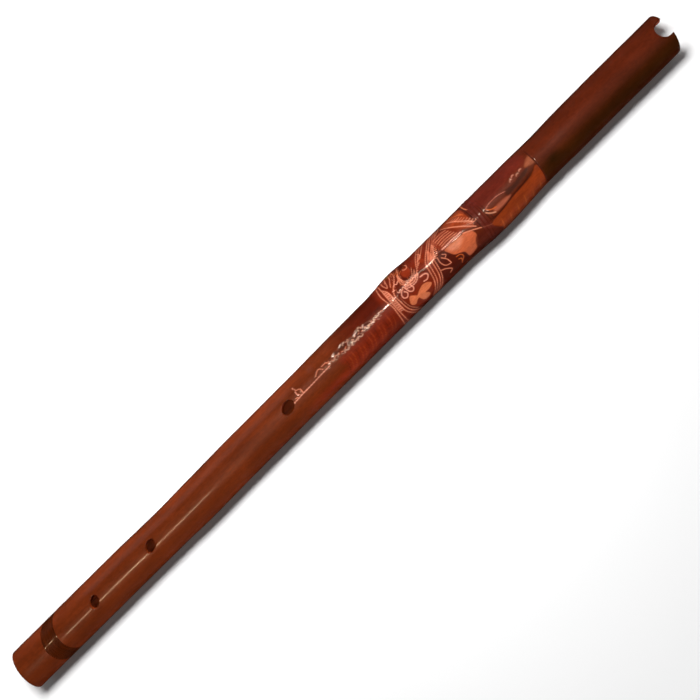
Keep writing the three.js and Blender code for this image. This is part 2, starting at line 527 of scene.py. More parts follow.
def arch_and_scoop(sheet):
    sheet.cut([(313.2, 18), (313, 13.6), (313.8, 10.6), (314.8, 11.6), (315.4, 14), (316.4, 18)], 0.9, 0.35,
              ribs=1.3)
    sheet.cut([(319.4, 18), (318.8, 14), (317, 11.4), (315.6, 9)], 0.8, 0.35, ribs=1.3)
    sheet.cut([(326.4, 18), (324.4, 12.8), (321.8, 9), (321.4, 5.4), (322.4, 3.2)], 0.9, 0.35, ribs=1.3)
    sheet.scrape([(325.4, 10.5), (326, 6.6), (328.4, 5.8), (331, 8), (331.2, 12), (328, 12.6)],
                 0.3, RED, 0.8)
    for out in (0, 1.5, 3.0):
        sheet.cut([(323.6 - out * 0.2, 12), (323.2 - out * 0.3, 7.6), (324 - out * 0.4, 5.2 - out * 0.5),
                   (326.4, 3.8 - out * 0.8), (329, 4.2 - out * 0.9), (332 + out * 0.6, 8 - out),
                   (334.2 + out, 11.2 - out * 0.7), (338 + out, 16)], 0.8, 0.35, ribs=1.3)
    sheet.cut([(328, 12.4), (328.8, 11.4), (330.4, 11.2), (331.4, 12.6), (330.8, 14)], 0.8, 0.3)
    sheet.cut([(317.2, 8), (318.4, 8.6), (319.4, 7.6), (321, 8.6)], 0.8, 0.3, PINK)
    sheet.cut([(314.6, 5.9), (316, 5.6)], 0.9, 0.3, PINK)
    for number in range(5):
        sheet.cut([(320 + 1.2 * number, 15.4 - number), (322.4 + 1.1 * number, 16.6 - number)],
                  0.6, 0.25, ORANGE)


def scrolls_leaf_and_painted_highlight(sheet):
    sheet.scrape([(316, 1.5), (326, 2.6), (336, 1.4), (337, -4), (334.4, -11), (327, -15.5), (319, -12),
                  (316, -5)], 0.4, GROUND, 0.8)
    sheet.cut([(318.6, 2.4), (316.8, 0.4), (316.8, -1.8), (318.8, -2.6), (320.4, -0.8), (319.4, 1)],
              0.9, 0.3, PINK)
    sheet.cut([(321.2, 2), (321.8, -1), (323.6, -2.4), (325.2, -1), (324.8, 1.4)], 0.9, 0.3, PINK)
    sheet.cut([(332.2, 0.6), (335.4, 0), (336.4, -1.8), (334.4, -3.4), (332, -3)], 0.9, 0.3, PINK)
    for height in (2.4, 1.2):
        sheet.cut([(322, height), (325, height - 1), (328.6, height - 1), (332, height + 1)],
                  0.8, 0.3, PINK, ribs=1.6)
    # Painted highlight: these small pale ticks, cut shallow, lie where the lacquer shines along the carving's
    # line of light.
    for number in range(8):
        sheet.cut([(316.4 + 2.1 * number, 3.4), (317.2 + 2.1 * number, 2.4), (318 + 2.1 * number, 3.2)],
                  0.8, 0.3, PINK)
    leaf = "#ad5a38"
    sheet.scrape([(324.4, -8), (321.4, -4.4), (319.6, -3.6), (317.8, -6), (317.4, -8.6), (319.6, -10.4),
                  (322, -8.8)], 0.12, leaf, 0.5)
    sheet.scrape([(323.6, -7), (327, -4.8), (330.6, -4), (334, -5.6), (334.6, -7.6), (331.6, -9),
                  (328.6, -9), (326, -9.6)], 0.12, leaf, 0.5)
    sheet.scrape([(323.4, -6.6), (326.4, -8), (329.4, -10.2), (330.2, -13), (327.4, -14.4), (324.8, -12.4)],
                 0.12, leaf, 0.5)


def sweeping_ribbons(sheet):
    """Ribbons that cross the culm from the upper side towards the foot on the lower side."""
    sheet.scrape([(334, 18), (357, 18), (350.6, 9), (346, 3.4), (343.4, -2), (341, -9), (338, -17),
                  (331, -17), (336, -7), (337.4, 2), (333, 6)], 0.1, GROUND, 0.8)
    sheet.scrape([(346.4, 9.4), (346, 5), (344.4, 1.8), (342.6, 3), (343.4, 6)], 0.06, "#9c4e36", 0.6)
    for shift, sag in ((0, 0), (1.9, 0.2), (4.2, 0.6), (6.0, 0.3)):
        sheet.cut([(352.6 + shift, 18), (347.4 + shift, 11.4), (341.8 + shift, 6 - sag),
                   (339.4 + shift, 2.8),
                   (338.2 + shift, -2), (336.6 + shift, -8), (333.6 + shift, -14), (331 + shift, -18)],
                  0.9, 0.35, ribs=1.3)
    for shift in (0, 2.2, 4.6):
        sheet.cut([(333.6 + shift * 0.6, 4.6 + shift * 0.4), (336 + shift * 0.7, 8.4), (339 + shift, 12.6),
                   (343 + shift, 18)], 0.8, 0.35, ribs=1.3)
    sheet.scrape([(338.4, 8.4), (340.6, 8.2), (341, 6), (338.8, 5)], 0.3, RED, 0.5)
    sheet.cut([(337.4, 8.6), (339.4, 9.4), (341.4, 11.4), (340.6, 13.2)], 0.8, 0.3)
    sheet.cut([(361, 17), (355.4, 13), (351, 9.6), (347.8, 5.4), (346.2, 2)], 1.0, 0.35, ribs=1.3)
    for number in range(9):
        low_end = 345.2 + 0.8 * number
        sheet.cut([(low_end, 2.4 + 0.9 * number), (low_end + 2.2, 1.4 + 1.0 * number)], 0.6, 0.25)


def dark_scrolls(sheet):
    sheet.scrape([(344.6, 1.4), (353.4, 1.6), (355, -3.6), (357.4, -6), (361.6, -9), (362, -15), (352, -16),
                  (343, -14), (342.8, -6)], 0.4, "#3c0f06", 0.9, 0.9)
    sheet.cut([(347, 0.8), (346.6, -2.4), (347.8, -5.6), (350.6, -7)], 0.8, 0.3)
    sheet.cut([(349, -0.4), (351, -3.6), (351.4, -7)], 0.8, 0.3)
    sheet.cut([(350.6, 0.8), (352.2, -0.8), (350.8, -1.8)], 0.7, 0.3)
    sheet.cut([(344, -6), (346.6, -7.4), (349.6, -10.6), (347.4, -12.4)], 0.8, 0.3)
    sheet.cut([(356, -6.6), (358.6, -7.4), (359.6, -10), (357.4, -12.6)], 0.8, 0.3, ORANGE)
    sheet.cut([(356.2, -9), (357.8, -10.6), (356.6, -14)], 0.8, 0.3, ORANGE)


def petal_hatching_and_painted_highlights(sheet):
    sheet.scrape([(351.6, 12.4), (360, 13), (366.4, 8), (368.6, 2.6), (360, 1.6), (352, 2.4)],
                 0.15, RED, 0.8, 0.7)
    for number, height in enumerate((11.2, 9.2, 7.5, 5.8, 4.3)):
        sheet.cut([(352 + 0.3 * number, height), (358, height + 0.4), (363 + 0.8 * number, height - 0.5)],
                  0.9, 0.3, ribs=1.2, fade=0.6)
    # Painted highlight: this pale ribbed groove under the hatching lies where the lacquer shines along the
    # carving's line of light.
    sheet.cut([(352.8, 2.9), (360, 2.9), (367.6, 2.4)], 1.1, 0.3, PINK, ribs=1.2)
    sheet.scrape([(353.6, 1.6), (354.4, -1.6), (356.2, -4.8), (359, -6.2), (361.8, -8.6), (362.8, -13.6),
                  (366.8, -13.4), (371.4, -10.2), (373.6, -4.2), (371.6, -0.8), (367, 0.8), (360, 1.5)],
                 0.22, "#9c4a2b", 0.5)
    # The petal is pale, and this lighter patch on its upper part, by the carving's line of light, is a
    # painted highlight.
    sheet.scrape([(355.4, 1), (356.6, -2), (360.4, -3.6), (365, -1.4), (366, 0.6), (360, 1.2)],
                 0.24, "#b0684c", 2.4, 0.8)
    sheet.cut([(368, 1), (373.4, -1.6), (378.4, -4.4), (383, -7), (386, -8.4)], 0.9, 0.3)
    sheet.cut([(370.6, -11), (372, -14)], 0.8, 0.3, fade=1)


def feather(sheet):
    """Two quills with slanting barbs, ending at the knot."""
    sheet.scrape([(362, 16), (376, 17), (377, 8), (376, 0), (371, 2), (366, 8)], 0.12, "#7a2c10", 0.8)
    for start, end in (((361, 14.4), (376.4, -1.4)), ((366.6, 14.6), (377.4, 1.6))):
        sheet.cut([start, ((start[0] + end[0]) / 2 - 0.6, (start[1] + end[1]) / 2 + 0.4), end], 1.0, 0.4)
    for number in range(9):
        from_foot, height = 367 + 1.0 * number, 12.6 - 1.5 * number
        sheet.cut([(from_foot, height + 1.6), (from_foot + 2.4, height + 0.6),
                   (from_foot + 4.4, height + 0.8)], 0.7, 0.28, strength=0.8)
    for number in range(6):
        sheet.cut([(368.6 + number * 1.3, 16 - number * 0.6), (372 + number * 0.8, 14.6 - number)],
                  0.7, 0.25, ORANGE)


def knot_band(sheet):
    """The stained ring at the knot, with its two fine ridges."""
    sheet.scrape([(377.2, 21), (378, 8), (377.6, 0), (379, -6), (379, -20), (387, -20), (385, -8),
                  (384.4, 0), (386, 10), (386, 21)], 0.0, "#4c1810", 1.2, 0.85)
    sheet.scrape([(373.5, -6), (383, -9.4), (391, -20), (372, -20), (369.5, -12)], 0.1, "#43140a", 0.9, 0.9)
    for from_foot in (RING_KNOT - 3.4, RING_KNOT + 3.6, RING_KNOT + 5.4):
        sheet.cut([(from_foot, 18), (from_foot + 0.2, 0), (from_foot + 0.4, -7)],
                  0.8, 0.2, "#2e0f0a", fade=3)
    sheet.cut([(379.5, 20), (379.4, 12), (380.4, 9.4)], 0.9, 0.2, "#b0603f", fade=2)


def tongue_panel_and_painted_highlights(sheet):
    sheet.scrape([(386, 16), (404, 17), (422, 15), (424, 6), (410, 5), (396, 3), (386, 5)], 0.08, "#5e1c14",
                 3.0, 0.6)
    sheet.scrape([(384.6, -8), (391, -6.4), (404, -4.8), (420, -3.4), (426.8, -0.6), (427.2, -6),
                  (426.4, -14), (426, -21), (392, -21), (389, -15)], 0.3, "#70290c", 0.6)
    for number in range(11):
        from_foot = 391 + 3.2 * number
        sheet.cut([(from_foot, -8.6 - number % 3), (from_foot - 0.6, -13), (from_foot - 1.6, -19)],
                  1.3, 0.32, "#6c200a" if number % 2 else "#96461c", fade=4, strength=0.6)
    sheet.scrape([(391, -1.6), (398, -1.4), (404, -2.6), (400, -4), (392, -4)], 0.2, "#8a4630", 1.2, 0.8)
    sheet.cut([(385.6, 0.6), (388, -2.2), (391.4, -4.2)], 1.2, 0.35, "#a56a50", fade=1.4)
    sheet.cut([(387, 1.8), (389.6, -0.8), (393.6, -2)], 0.9, 0.3, ORANGE, fade=1)
    sheet.cut([(384.4, -5), (391.4, -6), (399, -5.2), (406, -4), (415, -3.4), (421, -2.2)],
              1.2, 0.2, "#300c05", fade=3)
    sheet.cut([(386.6, 1.6), (392, 2.6), (398, 2.4), (404, 0.6)], 0.8, 0.25, "#93503f", fade=2)
    sheet.scrape([(403, 1), (410, 0.8), (421, 2), (420, 0), (410, -1.8), (403, -2)],
                 0.1, "#2a0e06", 1.2, 0.8)
    # Painted highlights: these short pale strokes above the panel lie where the lacquer shines along the
    # carving's line of light.
    for start, height in ((408.4, 3), (411, 4.2), (413.6, 2.8), (416.6, 3.6)):
        sheet.cut([(start, height - 0.6), (start + 1.4, height + 0.5), (start + 3, height)],
                  1.2, 0.2, "#8e5644", fade=1.2)
    sheet.scrape([(421.4, 3), (427.6, 6.6), (428, 2.6), (427.2, 1)], 0.15, "#84452c", 1.4, 0.8)
    sheet.cut([(428.6, 12), (428.2, 4), (427.8, -4), (427.2, -12), (426.8, -20)],
              1.0, 0.35, "#3a1208", fade=3)


def gouge_marks(sheet):
    """Short marks of the gouge between the ribbons, slanting one way and then the other."""
    for number in range(150):
        from_foot = 314 + 46 * ((number * 0.618034) % 1)
        height = 17 - 15 * ((number * 0.381966 + number / 150) % 1)
        lean = 0.7 + 0.5 * math.sin(number * 2.4)
        sheet.cut([(from_foot, height), (from_foot + lean, height + 1.3)], 0.6, 0.16,
                  (ORANGE, PALE, DARK)[number % 3], strength=0.45)


ORNAMENT = [feathering, stem_and_curls, border_ribbons, scrolls_leaf_and_painted_highlight, dark_scrolls, gouge_marks,
            arch_and_scoop, sweeping_ribbons, petal_hatching_and_painted_highlights, knot_band, feather, tongue_panel_and_painted_highlights]
print("ornament in", len(ORNAMENT), "parts")

# %% [markdown]
# ## The stain, with some painted light
#
# Before it was carved the culm was stained by hand, so its red-brown isn't even. A brown stain lies under
# everything. Over it go a few wider coats, each fading out at its ends and away from its own side: a deep red
# one under the carving, a dark one towards the mouth, a darker one on the lower side of the mouth end and a
# dark one underneath. The lighter orange coats on the lower side by the curls and on both sides towards the
# foot are partly the stain's own tone and partly painted light, standing in for light that the lamps give too
# little of there. The stain and the tones of the carving, with their painted light, are painted together as
# one colour for each point of the mesh.

# %% Stain of the plain culm, partly painted light
BROWN = "#531e07"
ALL_ROUND = {"turn": 0, "half_turn": math.inf}
STAIN_AND_LIGHT_COATS = [{"tone": "#460f03", "reach": (298, 352), "fade": 45, **ALL_ROUND},
         {"tone": "#4c1908", "reach": (390, LENGTH), "fade": 45, **ALL_ROUND},
         {"tone": "#2d1202", "reach": (435, LENGTH), "fade": 45, "turn": -38, "half_turn": 52},
         # Partly painted light: the next three coats lighten the lower side by the curls and both sides
         # towards the foot, where the lamps give too little light.
         {"tone": "#741d05", "reach": (255, 268), "fade": 32, "turn": -56, "half_turn": 32},
         {"tone": "#6a280c", "reach": (0, 225), "fade": 55, "turn": 66, "half_turn": 42},
         {"tone": "#692608", "reach": (0, 240), "fade": 60, "turn": -72, "half_turn": 32},
         {"tone": "#441704", "reach": (0, LENGTH), "fade": 1, "turn": 180, "half_turn": 85}]


def coat_cover(coat, from_foot, degrees):
    """How much of a coat each point gets: all within its reach and on its own side, and less beyond."""
    beyond = np.maximum(coat["reach"][0] - from_foot, from_foot - coat["reach"][1])
    off = (degrees - coat["turn"] + 180) % 360 - 180
    return hump(np.maximum(beyond, 0), coat["fade"]) * hump(off, coat["half_turn"])


def plain_stain_and_light(from_foot, turn):
    """The stain's colour before anything is carved, one coat laid over another, some of them partly painted
    light.
    """
    colour = np.tile(hex_colour(BROWN), (len(from_foot), 1))
    for coat in STAIN_AND_LIGHT_COATS:
        cover = coat_cover(coat, from_foot, np.degrees(turn))[:, None]
        colour = colour * (1 - cover) + hex_colour(coat["tone"]) * cover
    return colour


print("stain in", 1 + len(STAIN_AND_LIGHT_COATS), "coats")


def painted_sheet(points):
    """The ornament's depth, in millimetres, and the culm's colour at each point."""
    from_foot, turn, _ = lying_straight(points)
    around = turn * eased(OUTLINE, from_foot)
    sheet = Sheet(np.column_stack([from_foot, around]), plain_stain_and_light(from_foot, turn))
    for part in ORNAMENT:
        part(sheet)
    return sheet

# %% [markdown]
# ## Cutting the relief
#
# A Displace modifier pushes points in along their normals by as much as a vertex group says. The group's
# weights are the depths of the drawing, so the relief is real geometry and shows in any light.

# %% Cut the relief
DEEPEST = 0.6


def cut_relief(piece):
    points = read_points(piece)
    from_foot, _, radius = lying_straight(points)
    chosen = np.nonzero((radius > WALL_MIDDLE) & (from_foot > CARVED[0]) & (from_foot < CARVED[1] + 2))[0]
    sheet = painted_sheet(points[chosen])
    group = piece.vertex_groups.new(name="cut_depth")
    levels = np.round(np.clip(sheet.depth / DEEPEST, 0, 1) * 100).astype(int)
    for level in range(1, 101):
        group.add([int(index) for index in chosen[levels == level]], level / 100, "REPLACE")
    gouge = piece.modifiers.new("gouge", "DISPLACE")
    gouge.vertex_group = group.name
    gouge.mid_level = 0
    gouge.strength = -DEEPEST * MM
    apply_modifier(piece, gouge)
    print("relief cut in", int((levels > 0).sum()), "points, deepest", round(sheet.depth.max(), 2), "mm")


cut_relief(blank)

# %% [markdown]
# ## Holes and the notch
#
# The holes were opened with a knife, so they are ovals that lean, and their edges are worn round. Each is
# cut with a plug of its own shape by a Boolean modifier. The plug is an oval cylinder with extra rings near
# the top, and the rings are pressed to the curve of the skin and flared, which leaves a rounded edge of the
# same width all the way round the hole. The notch's plug is a round-nosed bar made the same way.

# %% Plugs for the holes
FINGER_HOLES = [{"from_foot": 61.1, "turn": 1.7, "across": 5.6, "along": 8.1, "lean": 41},
                {"from_foot": 107.7, "turn": 3.2, "across": 5.7, "along": 8.5, "lean": 35},
                {"from_foot": 222.8, "turn": 4.1, "across": 6.7, "along": 9.5, "lean": 19.5}]
NOTCH = {"depth": 8.0, "radius": 5.6, "turn": 13}
EDGE_WEAR = 0.45
WEAR_RINGS = 4
PLUG_SIDES = 40
PLUG_TOP = 3.0


def worn_rings():
    """Depth below the skin and flare, in millimetres, of the plug's rings from the deepest to the top."""
    rings = [(BORE_RADIUS, 0.0)]
    for step in range(WEAR_RINGS + 1):
        slope = math.pi / 2 * step / WEAR_RINGS
        rings.append((EDGE_WEAR * (1 - math.sin(slope)), EDGE_WEAR * (1 - math.cos(slope))))
    return rings + [(-PLUG_TOP, EDGE_WEAR)]


def plug_from(outline, name, from_foot, turn):
    """A plug whose rings repeat a flat outline, in millimetres, on the curve of the skin."""
    bpy.ops.mesh.primitive_circle_add(vertices=len(outline), radius=MM, fill_type="NGON")
    plug = bpy.context.object
    plug.name = name
    rings = worn_rings()
    begin_edit(plug)
    for _ in rings[1:]:
        bpy.ops.mesh.select_mode(type="FACE")
        bpy.ops.mesh.extrude_region_move(TRANSFORM_OT_translate={"value": (0, 0, MM)})
    end_edit()
    points = read_points(plug)
    step = np.round(points[:, 2] / MM).astype(int)
    corner = np.round(np.arctan2(points[:, 1], points[:, 0]) / math.tau * len(outline)).astype(int)
    depth = np.array([ring[0] for ring in rings])[step]
    flare = np.array([ring[1] for ring in rings])[step]
    flat = np.array(outline)[corner % len(outline)]
    along = flat[:, 0] + flare * flat[:, 2]
    across = flat[:, 1] + flare * flat[:, 3]
    local_radius = float(skin_radius(np.array([from_foot]), np.array([turn]))[0])
    points[:, 0] = x_of(from_foot + along)
    points[:, 1] = across * MM
    points[:, 2] = np.sqrt(np.maximum((local_radius - depth) ** 2 - across ** 2, 1.0)) * MM
    tilt = math.radians(turn)
    y, z = points[:, 1].copy(), points[:, 2].copy()
    points[:, 1] = y * math.cos(tilt) + z * math.sin(tilt) + float(eased(BEND, from_foot)) * MM
    points[:, 2] = AXIS_Z + z * math.cos(tilt) - y * math.sin(tilt)
    write_points(plug, points)
    begin_edit(plug)
    bpy.ops.mesh.select_all(action="SELECT")
    bpy.ops.mesh.normals_make_consistent(inside=False)
    end_edit()
    return plug


def oval(across, along, lean):
    """Outline points (x, y, outward x, outward y) of a leaning oval."""
    rows = []
    tilt = math.radians(lean)
    for corner in range(PLUG_SIDES):
        angle = math.tau * corner / PLUG_SIDES
        x, y = along / 2 * math.cos(angle), across / 2 * math.sin(angle)
        nx, ny = math.cos(angle) / along, math.sin(angle) / across
        size = math.hypot(nx, ny)
        turned = [(a * math.cos(tilt) - b * math.sin(tilt), a * math.sin(tilt) + b * math.cos(tilt))
                  for a, b in ((x, y), (nx / size, ny / size))]
        rows.append((*turned[0], *turned[1]))
    return rows


def round_nosed_bar(radius, reach):
    """Outline of the notch's plug: a half circle towards the foot, then straight out past the rim."""
    rows = []
    half = PLUG_SIDES // 2
    for corner in range(PLUG_SIDES):
        angle = math.tau * corner / PLUG_SIDES
        if math.cos(angle) <= 1e-9:
            outward = (math.cos(angle), math.sin(angle))
            rows.append((radius * outward[0], radius * outward[1], *outward))
        else:
            side = max(-1, min(1, math.sin(angle) * 1.5))
            rows.append((reach * math.cos(angle) ** 0.5, radius * side, 0, side))
    return rows


plugs = [plug_from(oval(hole["across"], hole["along"], hole["lean"]), f"hole_plug_{number}",
                   hole["from_foot"], hole["turn"])
         for number, hole in enumerate(FINGER_HOLES)]
plugs.append(plug_from(round_nosed_bar(NOTCH["radius"], 2 * NOTCH["depth"]), "notch_plug",
                       LENGTH - NOTCH["depth"] + NOTCH["radius"], NOTCH["turn"]))
print([plug.name for plug in plugs])

# %% Cut the holes and the notch
def cut_with(piece, plugs):
    """Takes the plugs' space out of the piece, and removes the plugs."""
    choose(plugs[0])
    for plug in plugs[1:]:
        plug.select_set(True)
    bpy.ops.object.join()
    cutter = piece.modifiers.new("knife", "BOOLEAN")
    cutter.operation = "DIFFERENCE"
    cutter.solver = "EXACT"
    cutter.object = plugs[0]
    apply_modifier(piece, cutter)
    choose(plugs[0])
    bpy.ops.object.delete()


cut_with(blank, plugs)
smooth_below(blank, 40)
print("culm", len(blank.data.polygons), "faces")

# %% [markdown]
# ## Painting the culm, and its bare cane
#
# The stain and the lacquer cover the skin and run a little way into the holes. The bore and the sawn ends are
# bare cane, so their faces get a finish of their own. A few marks are painted too: a small dark spot near the
# top hole, a small green-brown speck where the bud's husk is left and a larger dark patch past the carving
# towards the mouth.

# %% Paint the culm
STAIN_RUNS_IN = 1.3                              # how far below the skin the stain reaches, in millimetres
MARKS = [{"from_foot": 184.9, "around": 2.6, "long": 0.9, "wide": 0.6, "tone": "#2c1006"},
         {"from_foot": 318.4, "around": 17.6, "long": 2.2, "wide": 1.6, "tone": "#5a4a1c"},
         {"from_foot": 437.5, "around": -5.5, "long": 8.0, "wide": 4.5, "tone": "#241002"}]


def paint(piece):
    """Stores the stain, the carving's tones and the painted light of every point as the colour attribute that
    the material reads.
    """
    points = read_points(piece)
    sheet = painted_sheet(points)
    for mark in MARKS:
        off = sheet.spots - (mark["from_foot"], mark["around"])
        part = hump(np.hypot(off[:, 0] / mark["long"], off[:, 1] / mark["wide"]), 1.0)[:, None]
        sheet.colour = sheet.colour * (1 - part) + hex_colour(mark["tone"]) * part
    stain_and_painted_light = piece.data.color_attributes.new("stain_and_painted_light", "FLOAT_COLOR", "POINT")
    stain_and_painted_light.data.foreach_set("color", np.column_stack([sheet.colour, np.ones(len(points))]).ravel())


def bare_faces(piece):
    """Which faces lie inside the culm or on its sawn ends."""
    centres = np.empty(len(piece.data.polygons) * 3)
    piece.data.polygons.foreach_get("center", centres)
    centres = centres.reshape(-1, 3).copy()
    from_foot = (centres[:, 0] - FOOT_X - centres[:, 1] * SAW_SKEW) / MM
    centres[:, 1] -= eased(BEND, from_foot) * MM
    _, _, radius = lying_straight(centres)
    return eased(OUTLINE, from_foot) - radius > STAIN_RUNS_IN


paint(blank)
print("bare faces", int(bare_faces(blank).sum()), "of", len(blank.data.polygons))

# %% [markdown]
# ## The whipping near the foot
#
# A whipping stops the foot from splitting. It is thread as thick as coarse sewing thread, wound side by
# side into a shallow groove and soaked in dark lacquer, which joins the turns but leaves their ribs. It was
# wound aslant. It is made as the blank was: a thin outline with rows for every turn of the thread, spun
# round the axis, then pressed so that each turn stands proud and the ring leans as its groove does.

# %% Wind the thread
TURNS_OF_THREAD = 24
ROWS_PER_TURN = 4
THREAD_RIB = 0.08                                # how far a turn stands above the dip beside it, in mm


def wind_thread():
    start, end = BAND["from_foot"], BAND["from_foot"] + BAND["width"]
    outer = OUTLINE[0][1]
    inner = outer - BAND["thickness"]
    ring = wall_outline("thread_whipping", start, end, inner, outer)
    begin_edit(ring)
    pick_edges(ring, lambda co: radius_of(co) > (inner + outer) / 2)
    bpy.ops.mesh.subdivide(number_cuts=TURNS_OF_THREAD * ROWS_PER_TURN - 1)
    spin_outline(ring)
    end_edit()
    points = read_points(ring)
    from_foot, turn, radius = lying_straight(points)
    pitch = BAND["width"] / TURNS_OF_THREAD
    place = ((from_foot - start) / pitch) % 1.0
    dip = np.abs(np.where(place > 0.999, 0, place) - 0.5) * 2
    dip = np.where((from_foot < start + 0.01) | (from_foot > end - 0.01), 1.0, dip)
    on_top = radius > (inner + outer) / 2
    slack = 0.03 * np.sin(from_foot * 2.3 + 1.7 * np.sin(turn)) * np.sin(turn + from_foot)
    radius = np.where(on_top, outer + slack - THREAD_RIB * dip * dip, inner)
    set_turned(points, from_foot + groove_lean(from_foot, turn, SKIN_RADIUS), turn, radius)
    write_points(ring, points)
    wound = ring.data.attributes.new("wound", "FLOAT_VECTOR", "POINT")
    wound.data.foreach_set("vector", np.column_stack([from_foot, turn * outer, radius]).ravel())
    smooth_below(ring, 50)
    return ring


whipping = wind_thread()
print("whipping", TURNS_OF_THREAD, "turns,", len(whipping.data.polygons), "faces")

# %% [markdown]
# ## Finishes
#
# Each finish is made of nodes and named for what it is. Its patterns have the size they have on the real
# thing and follow the object's own coordinates, in metres, so they stay put when the flute is moved.

# %% One helper for nodes
def add_node(material, kind, links=None, **settings):
    """Adds a shader node, sets its fields and input values, and links its inputs to other nodes' outputs."""
    node = material.node_tree.nodes.new(kind)
    for name, value in settings.items():
        if name.replace("_", " ") in node.inputs:
            node.inputs[name.replace("_", " ")].default_value = value
        else:
            setattr(node, name, value)
    for name, source in (links or {}).items():
        material.node_tree.links.new(source, node.inputs[name])
    return node


def new_material(name):
    material = bpy.data.materials.new(name)
    material.use_nodes = True
    material.node_tree.nodes.clear()
    return material


def with_surface(material, links=None, **settings):
    """Adds the shader and the output node that every material ends with."""
    shader = add_node(material, "ShaderNodeBsdfPrincipled", links, **settings)
    add_node(material, "ShaderNodeOutputMaterial", {"Surface": shader.outputs["BSDF"]})
    return material


def spread(material, noise, least, most):
    """Stretches the middle of a noise's values so that they run from least to most."""
    return add_node(material, "ShaderNodeMapRange", {"Value": noise.outputs["Fac"]},
                    From_Min=0.3, From_Max=0.7, To_Min=least, To_Max=most).outputs["Result"]


def times(material, first, second):
    return add_node(material, "ShaderNodeMath", {0: first, 1: second}, operation="MULTIPLY").outputs["Value"]


def two_tones(material, source, starts, ends, low_tone, high_tone):
    """Blends from one tone to another while the source rises from starts to ends."""
    ramp = add_node(material, "ShaderNodeValToRGB", {"Fac": source})
    low_end, high_end = ramp.color_ramp.elements
    low_end.position, high_end.position = starts, ends
    low_end.color = (*hex_colour(low_tone), 1)
    high_end.color = (*hex_colour(high_tone), 1)
    return ramp.outputs["Color"]

# %% [markdown]
# ### Stained and lacquered bamboo
#
# Spirit stain was wiped over the skin and a thin coat of clear lacquer laid on top. Bundles of fibre under
# the skin take the stain unevenly, as streaks a third of a millimetre wide and some centimetres long, and
# the wiping leaves wider clouds. The lacquer is nearly smooth, with the skin's fine ridges under it.

# %% Stained and lacquered bamboo
FIBRE_WIDTH = 0.35                                            # of a bundle of fibres under the skin
FIBRE_LENGTH = 40


def fibres(material, coordinates, width, length, detail):
    """Noise drawn out along the culm, as long thin streaks."""
    stretched = add_node(material, "ShaderNodeMapping", {"Vector": coordinates},
                         Scale=(1 / (length * MM), 1 / (width * MM), 1 / (width * MM)))
    return add_node(material, "ShaderNodeTexNoise", {"Vector": stretched.outputs["Vector"]},
                    Scale=1.0, Detail=detail, Roughness=0.6)


def lacquered_bamboo():
    material = new_material("stained_lacquered_bamboo")
    place = add_node(material, "ShaderNodeTexCoord").outputs["Object"]
    # The colour it reads holds painted light too: lighter sides towards the foot and painted highlights on
    # the carving.
    stain_and_painted_light = add_node(material, "ShaderNodeAttribute", attribute_name="stain_and_painted_light")
    streaks = fibres(material, place, FIBRE_WIDTH, FIBRE_LENGTH, 3)
    clouds = fibres(material, place, 7, 22, 3)
    specks = fibres(material, place, 1.1, 2.2, 2)
    tone = times(material, spread(material, streaks, 0.86, 1.12), spread(material, clouds, 0.8, 1.2))
    tone = times(material, tone, spread(material, specks, 0.84, 1.16))
    toned = add_node(material, "ShaderNodeVectorMath", {0: stain_and_painted_light.outputs["Color"], "Scale": tone},
                     operation="SCALE")
    ridges = add_node(material, "ShaderNodeBump", {"Height": streaks.outputs["Fac"]}, Strength=0.25,
                      Distance=0.00006)
    return with_surface(material,
                        {"Base Color": toned.outputs["Vector"], "Normal": ridges.outputs["Normal"],
                         "Roughness": spread(material, specks, 0.34, 0.46)},
                        IOR=1.5, Specular_IOR_Level=0.25, Coat_Weight=0.9, Coat_Roughness=0.07)

# %% [markdown]
# ### Bare cane
#
# Where the cane is sawn and bored its bundles of fibre lie open. They run along the culm, so they show as
# dark dots half a millimetre across on the sawn ends and as streaks in the bore. One pattern of cells,
# drawn out along the culm, gives both. Nothing shines here: the cut is dry and rough.

# %% Bare sawn cane
def bare_cane():
    material = new_material("bare_sawn_cane")
    place = add_node(material, "ShaderNodeTexCoord").outputs["Object"]
    drawn_out = add_node(material, "ShaderNodeMapping", {"Vector": place},
                         Scale=(1 / (25 * MM), 1 / (0.6 * MM), 1 / (0.6 * MM)))
    bundles = add_node(material, "ShaderNodeTexVoronoi", {"Vector": drawn_out.outputs["Vector"]}, Scale=1.0)
    tone = two_tones(material, bundles.outputs["Distance"], 0.2, 0.45, "#7c2c10", "#b04c1c")
    return with_surface(material, {"Base Color": tone}, Roughness=0.75, IOR=1.45)

# %% [markdown]
# ### Thread soaked in lacquer
#
# The thread is brown-black with lacquer. Every turn took up a little more or a little less of it, so its
# tone changes from turn to turn and slowly along each turn. The lacquer on top is glossier than the culm's.

# %% Lacquered thread
def lacquered_thread():
    material = new_material("lacquered_thread")
    wound = add_node(material, "ShaderNodeAttribute", attribute_name="wound")
    along_turns = add_node(material, "ShaderNodeMapping", {"Vector": wound.outputs["Vector"]},
                           Scale=(1 / 0.4, 1 / 6, 0.2))
    uneven = add_node(material, "ShaderNodeTexNoise", {"Vector": along_turns.outputs["Vector"]}, Scale=1.0,
                      Detail=2)
    tone = two_tones(material, uneven.outputs["Fac"], 0.3, 0.7, "#2c0d02", "#471904")
    return with_surface(material, {"Base Color": tone}, Roughness=0.4, IOR=1.5, Specular_IOR_Level=0.1,
                        Coat_Weight=1.0, Coat_Roughness=0.04)

# %% Put the finishes on
def put_on(piece, *finishes):
    piece.data.materials.clear()
    for finish in finishes:
        piece.data.materials.append(finish)


put_on(blank, lacquered_bamboo(), bare_cane())
blank.data.polygons.foreach_set("material_index", bare_faces(blank).astype(np.int32))
blank.data.update()
put_on(whipping, lacquered_thread())
print([slot.name for piece in (blank, whipping) for slot in piece.data.materials])

